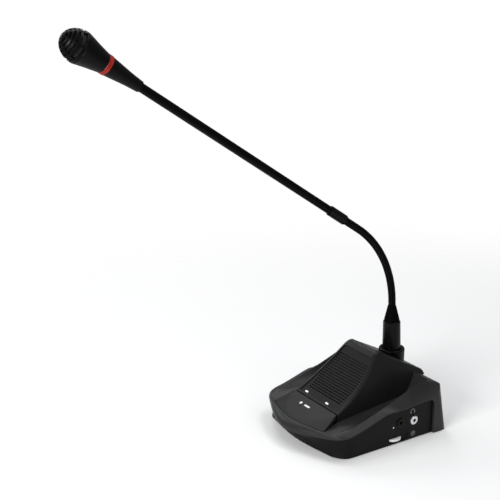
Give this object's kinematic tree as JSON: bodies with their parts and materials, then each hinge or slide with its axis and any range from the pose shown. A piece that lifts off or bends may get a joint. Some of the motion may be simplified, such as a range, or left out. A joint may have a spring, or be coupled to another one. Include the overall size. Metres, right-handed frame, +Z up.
{
  "type": "conference microphone unit",
  "caption": "Conference microphone unit with a speaker tower, a talk plate, side jacks and a bendable arm ending in a ringed head.",
  "frame": {"origin": "middle of the rear rubber strip's underside, on the table straight below the microphone socket", "axes": "+X towards the side with the jacks, -Y towards the person who speaks, +Z up"},
  "size_m": [0.1328, 0.3728, 0.413],
  "materials": {
    "cover": "fine texture",
    "skirt": "matt",
    "grille": "satin",
    "talk": "satin",
    "plug": "semi gloss",
    "rubber": "matt",
    "neck": "satin black",
    "tube": "satin black",
    "lens": "clear white",
    "ring": "translucent",
    "jack_metal": "polished",
    "wheel": "satin",
    "steel": "plain",
    "board": "laminate",
    "cloth": "woven",
    "paper_cone": "pressed"
  },
  "bodies": {
    "base": {"bottom_plate": "skirt", "ballast_plate": "steel", "lower_housing": "skirt", "top_cover": "cover", "tower_shell": "cover", "grille_panel": "grille", "speaker_cloth": "cloth", "speaker_baffle": "skirt", "speaker_frame": "steel", "speaker_cone": "paper_cone", "speaker_magnet": "steel", "indicator_lenses": "lens", "switch_mat": "rubber", "tact_switches": "board", "circuit_board": "board", "board_parts": "plug", "ringed_jack": "jack_metal", "dark_jack": "plug", "volume_pot": "skirt", "link_sockets": "plug", "rubber_strips": "rubber", "base_screws": "steel", "socket_collar": "cover", "socket_core": "skirt", "plug_shell": "plug", "plug_insert": "skirt", "plug_boot": "rubber", "neck_start": "neck"},
    "talk_plate": {"talk_plate": "talk"},
    "release_button": {"release_button": "plug"},
    "volume_wheel": {"volume_wheel": "wheel"},
    "neck_link_1": {"neck_link_1": "neck"},
    "neck_link_2": {"neck_link_2": "neck"},
    "neck_link_3": {"neck_link_3": "neck"},
    "neck_link_4": {"neck_link_4": "neck"},
    "neck_link_5": {"neck_link_5": "neck"},
    "neck_link_6": {"neck_link_6": "neck"},
    "neck_link_7": {"neck_link_7": "neck"},
    "arm": {"neck_end": "neck", "coupling_ferrule": "plug", "rigid_tube": "tube", "head_sleeve": "plug", "light_ring": "ring", "capsule_body": "plug", "capsule_holder": "rubber", "mic_capsule": "steel", "foam_ball": "cloth", "windscreen": "plug"}
  },
  "joints": [
    {"name": "talk_press", "type": "slide", "parent": "base", "child": "talk_plate", "axis": [0, 0, -1], "range_m": [0, 0.001], "stiffness_N_per_m": 900, "springref_m": -0.0008},
    {"name": "release_press", "type": "slide", "parent": "base", "child": "release_button", "axis": [-0.5592, 0.8284, 0.0318], "range_m": [0, 0.0012], "stiffness_N_per_m": 1200, "springref_m": -0.0005},
    {"name": "volume_turn", "type": "hinge", "parent": "base", "child": "volume_wheel", "pos_m": [0.0572, -0.045, 0.005], "axis": [0, 0, 1], "range_deg": [-150, 150]},
    {"name": "neck_bend", "type": "hinge", "parent": "base", "child": "neck_link_1", "pos_m": [0, -0.00227, 0.12216], "axis": [1, 0, 0], "range_deg": [-12.5, 12.5]},
    {"name": "neck_sway", "type": "hinge", "parent": "neck_link_1", "child": "neck_link_2", "pos_m": [0, -0.00426, 0.13906], "axis": [0, 0.9809, 0.1945], "range_deg": [-10, 10]},
    {"name": "neck_bend_2", "type": "hinge", "parent": "neck_link_2", "child": "neck_link_3", "pos_m": [0, -0.00888, 0.15545], "axis": [1, 0, 0], "range_deg": [-12.5, 12.5]},
    {"name": "neck_sway_2", "type": "hinge", "parent": "neck_link_3", "child": "neck_link_4", "pos_m": [0, -0.016, 0.17092], "axis": [0, 0.8725, 0.4886], "range_deg": [-10, 10]},
    {"name": "neck_bend_3", "type": "hinge", "parent": "neck_link_4", "child": "neck_link_5", "pos_m": [0, -0.02546, 0.18507], "axis": [1, 0, 0], "range_deg": [-12.5, 12.5]},
    {"name": "neck_sway_3", "type": "hinge", "parent": "neck_link_5", "child": "neck_link_6", "pos_m": [0, -0.03703, 0.19757], "axis": [0, 0.6784, 0.7347], "range_deg": [-10, 10]},
    {"name": "neck_bend_4", "type": "hinge", "parent": "neck_link_6", "child": "neck_link_7", "pos_m": [0, -0.0504, 0.2081], "axis": [1, 0, 0], "range_deg": [-12.5, 12.5]},
    {"name": "neck_sway_4", "type": "hinge", "parent": "neck_link_7", "child": "arm", "pos_m": [0, -0.06458, 0.21756], "axis": [0, 0.5548, 0.832], "range_deg": [-10, 10]}
  ],
  "couplings": [
    {"joint": "neck_bend_2", "follows": "neck_bend", "ratio": 1},
    {"joint": "neck_sway_2", "follows": "neck_sway", "ratio": 1},
    {"joint": "neck_bend_3", "follows": "neck_bend", "ratio": 1},
    {"joint": "neck_sway_3", "follows": "neck_sway", "ratio": 1},
    {"joint": "neck_bend_4", "follows": "neck_bend", "ratio": 1},
    {"joint": "neck_sway_4", "follows": "neck_sway", "ratio": 1}
  ]
}
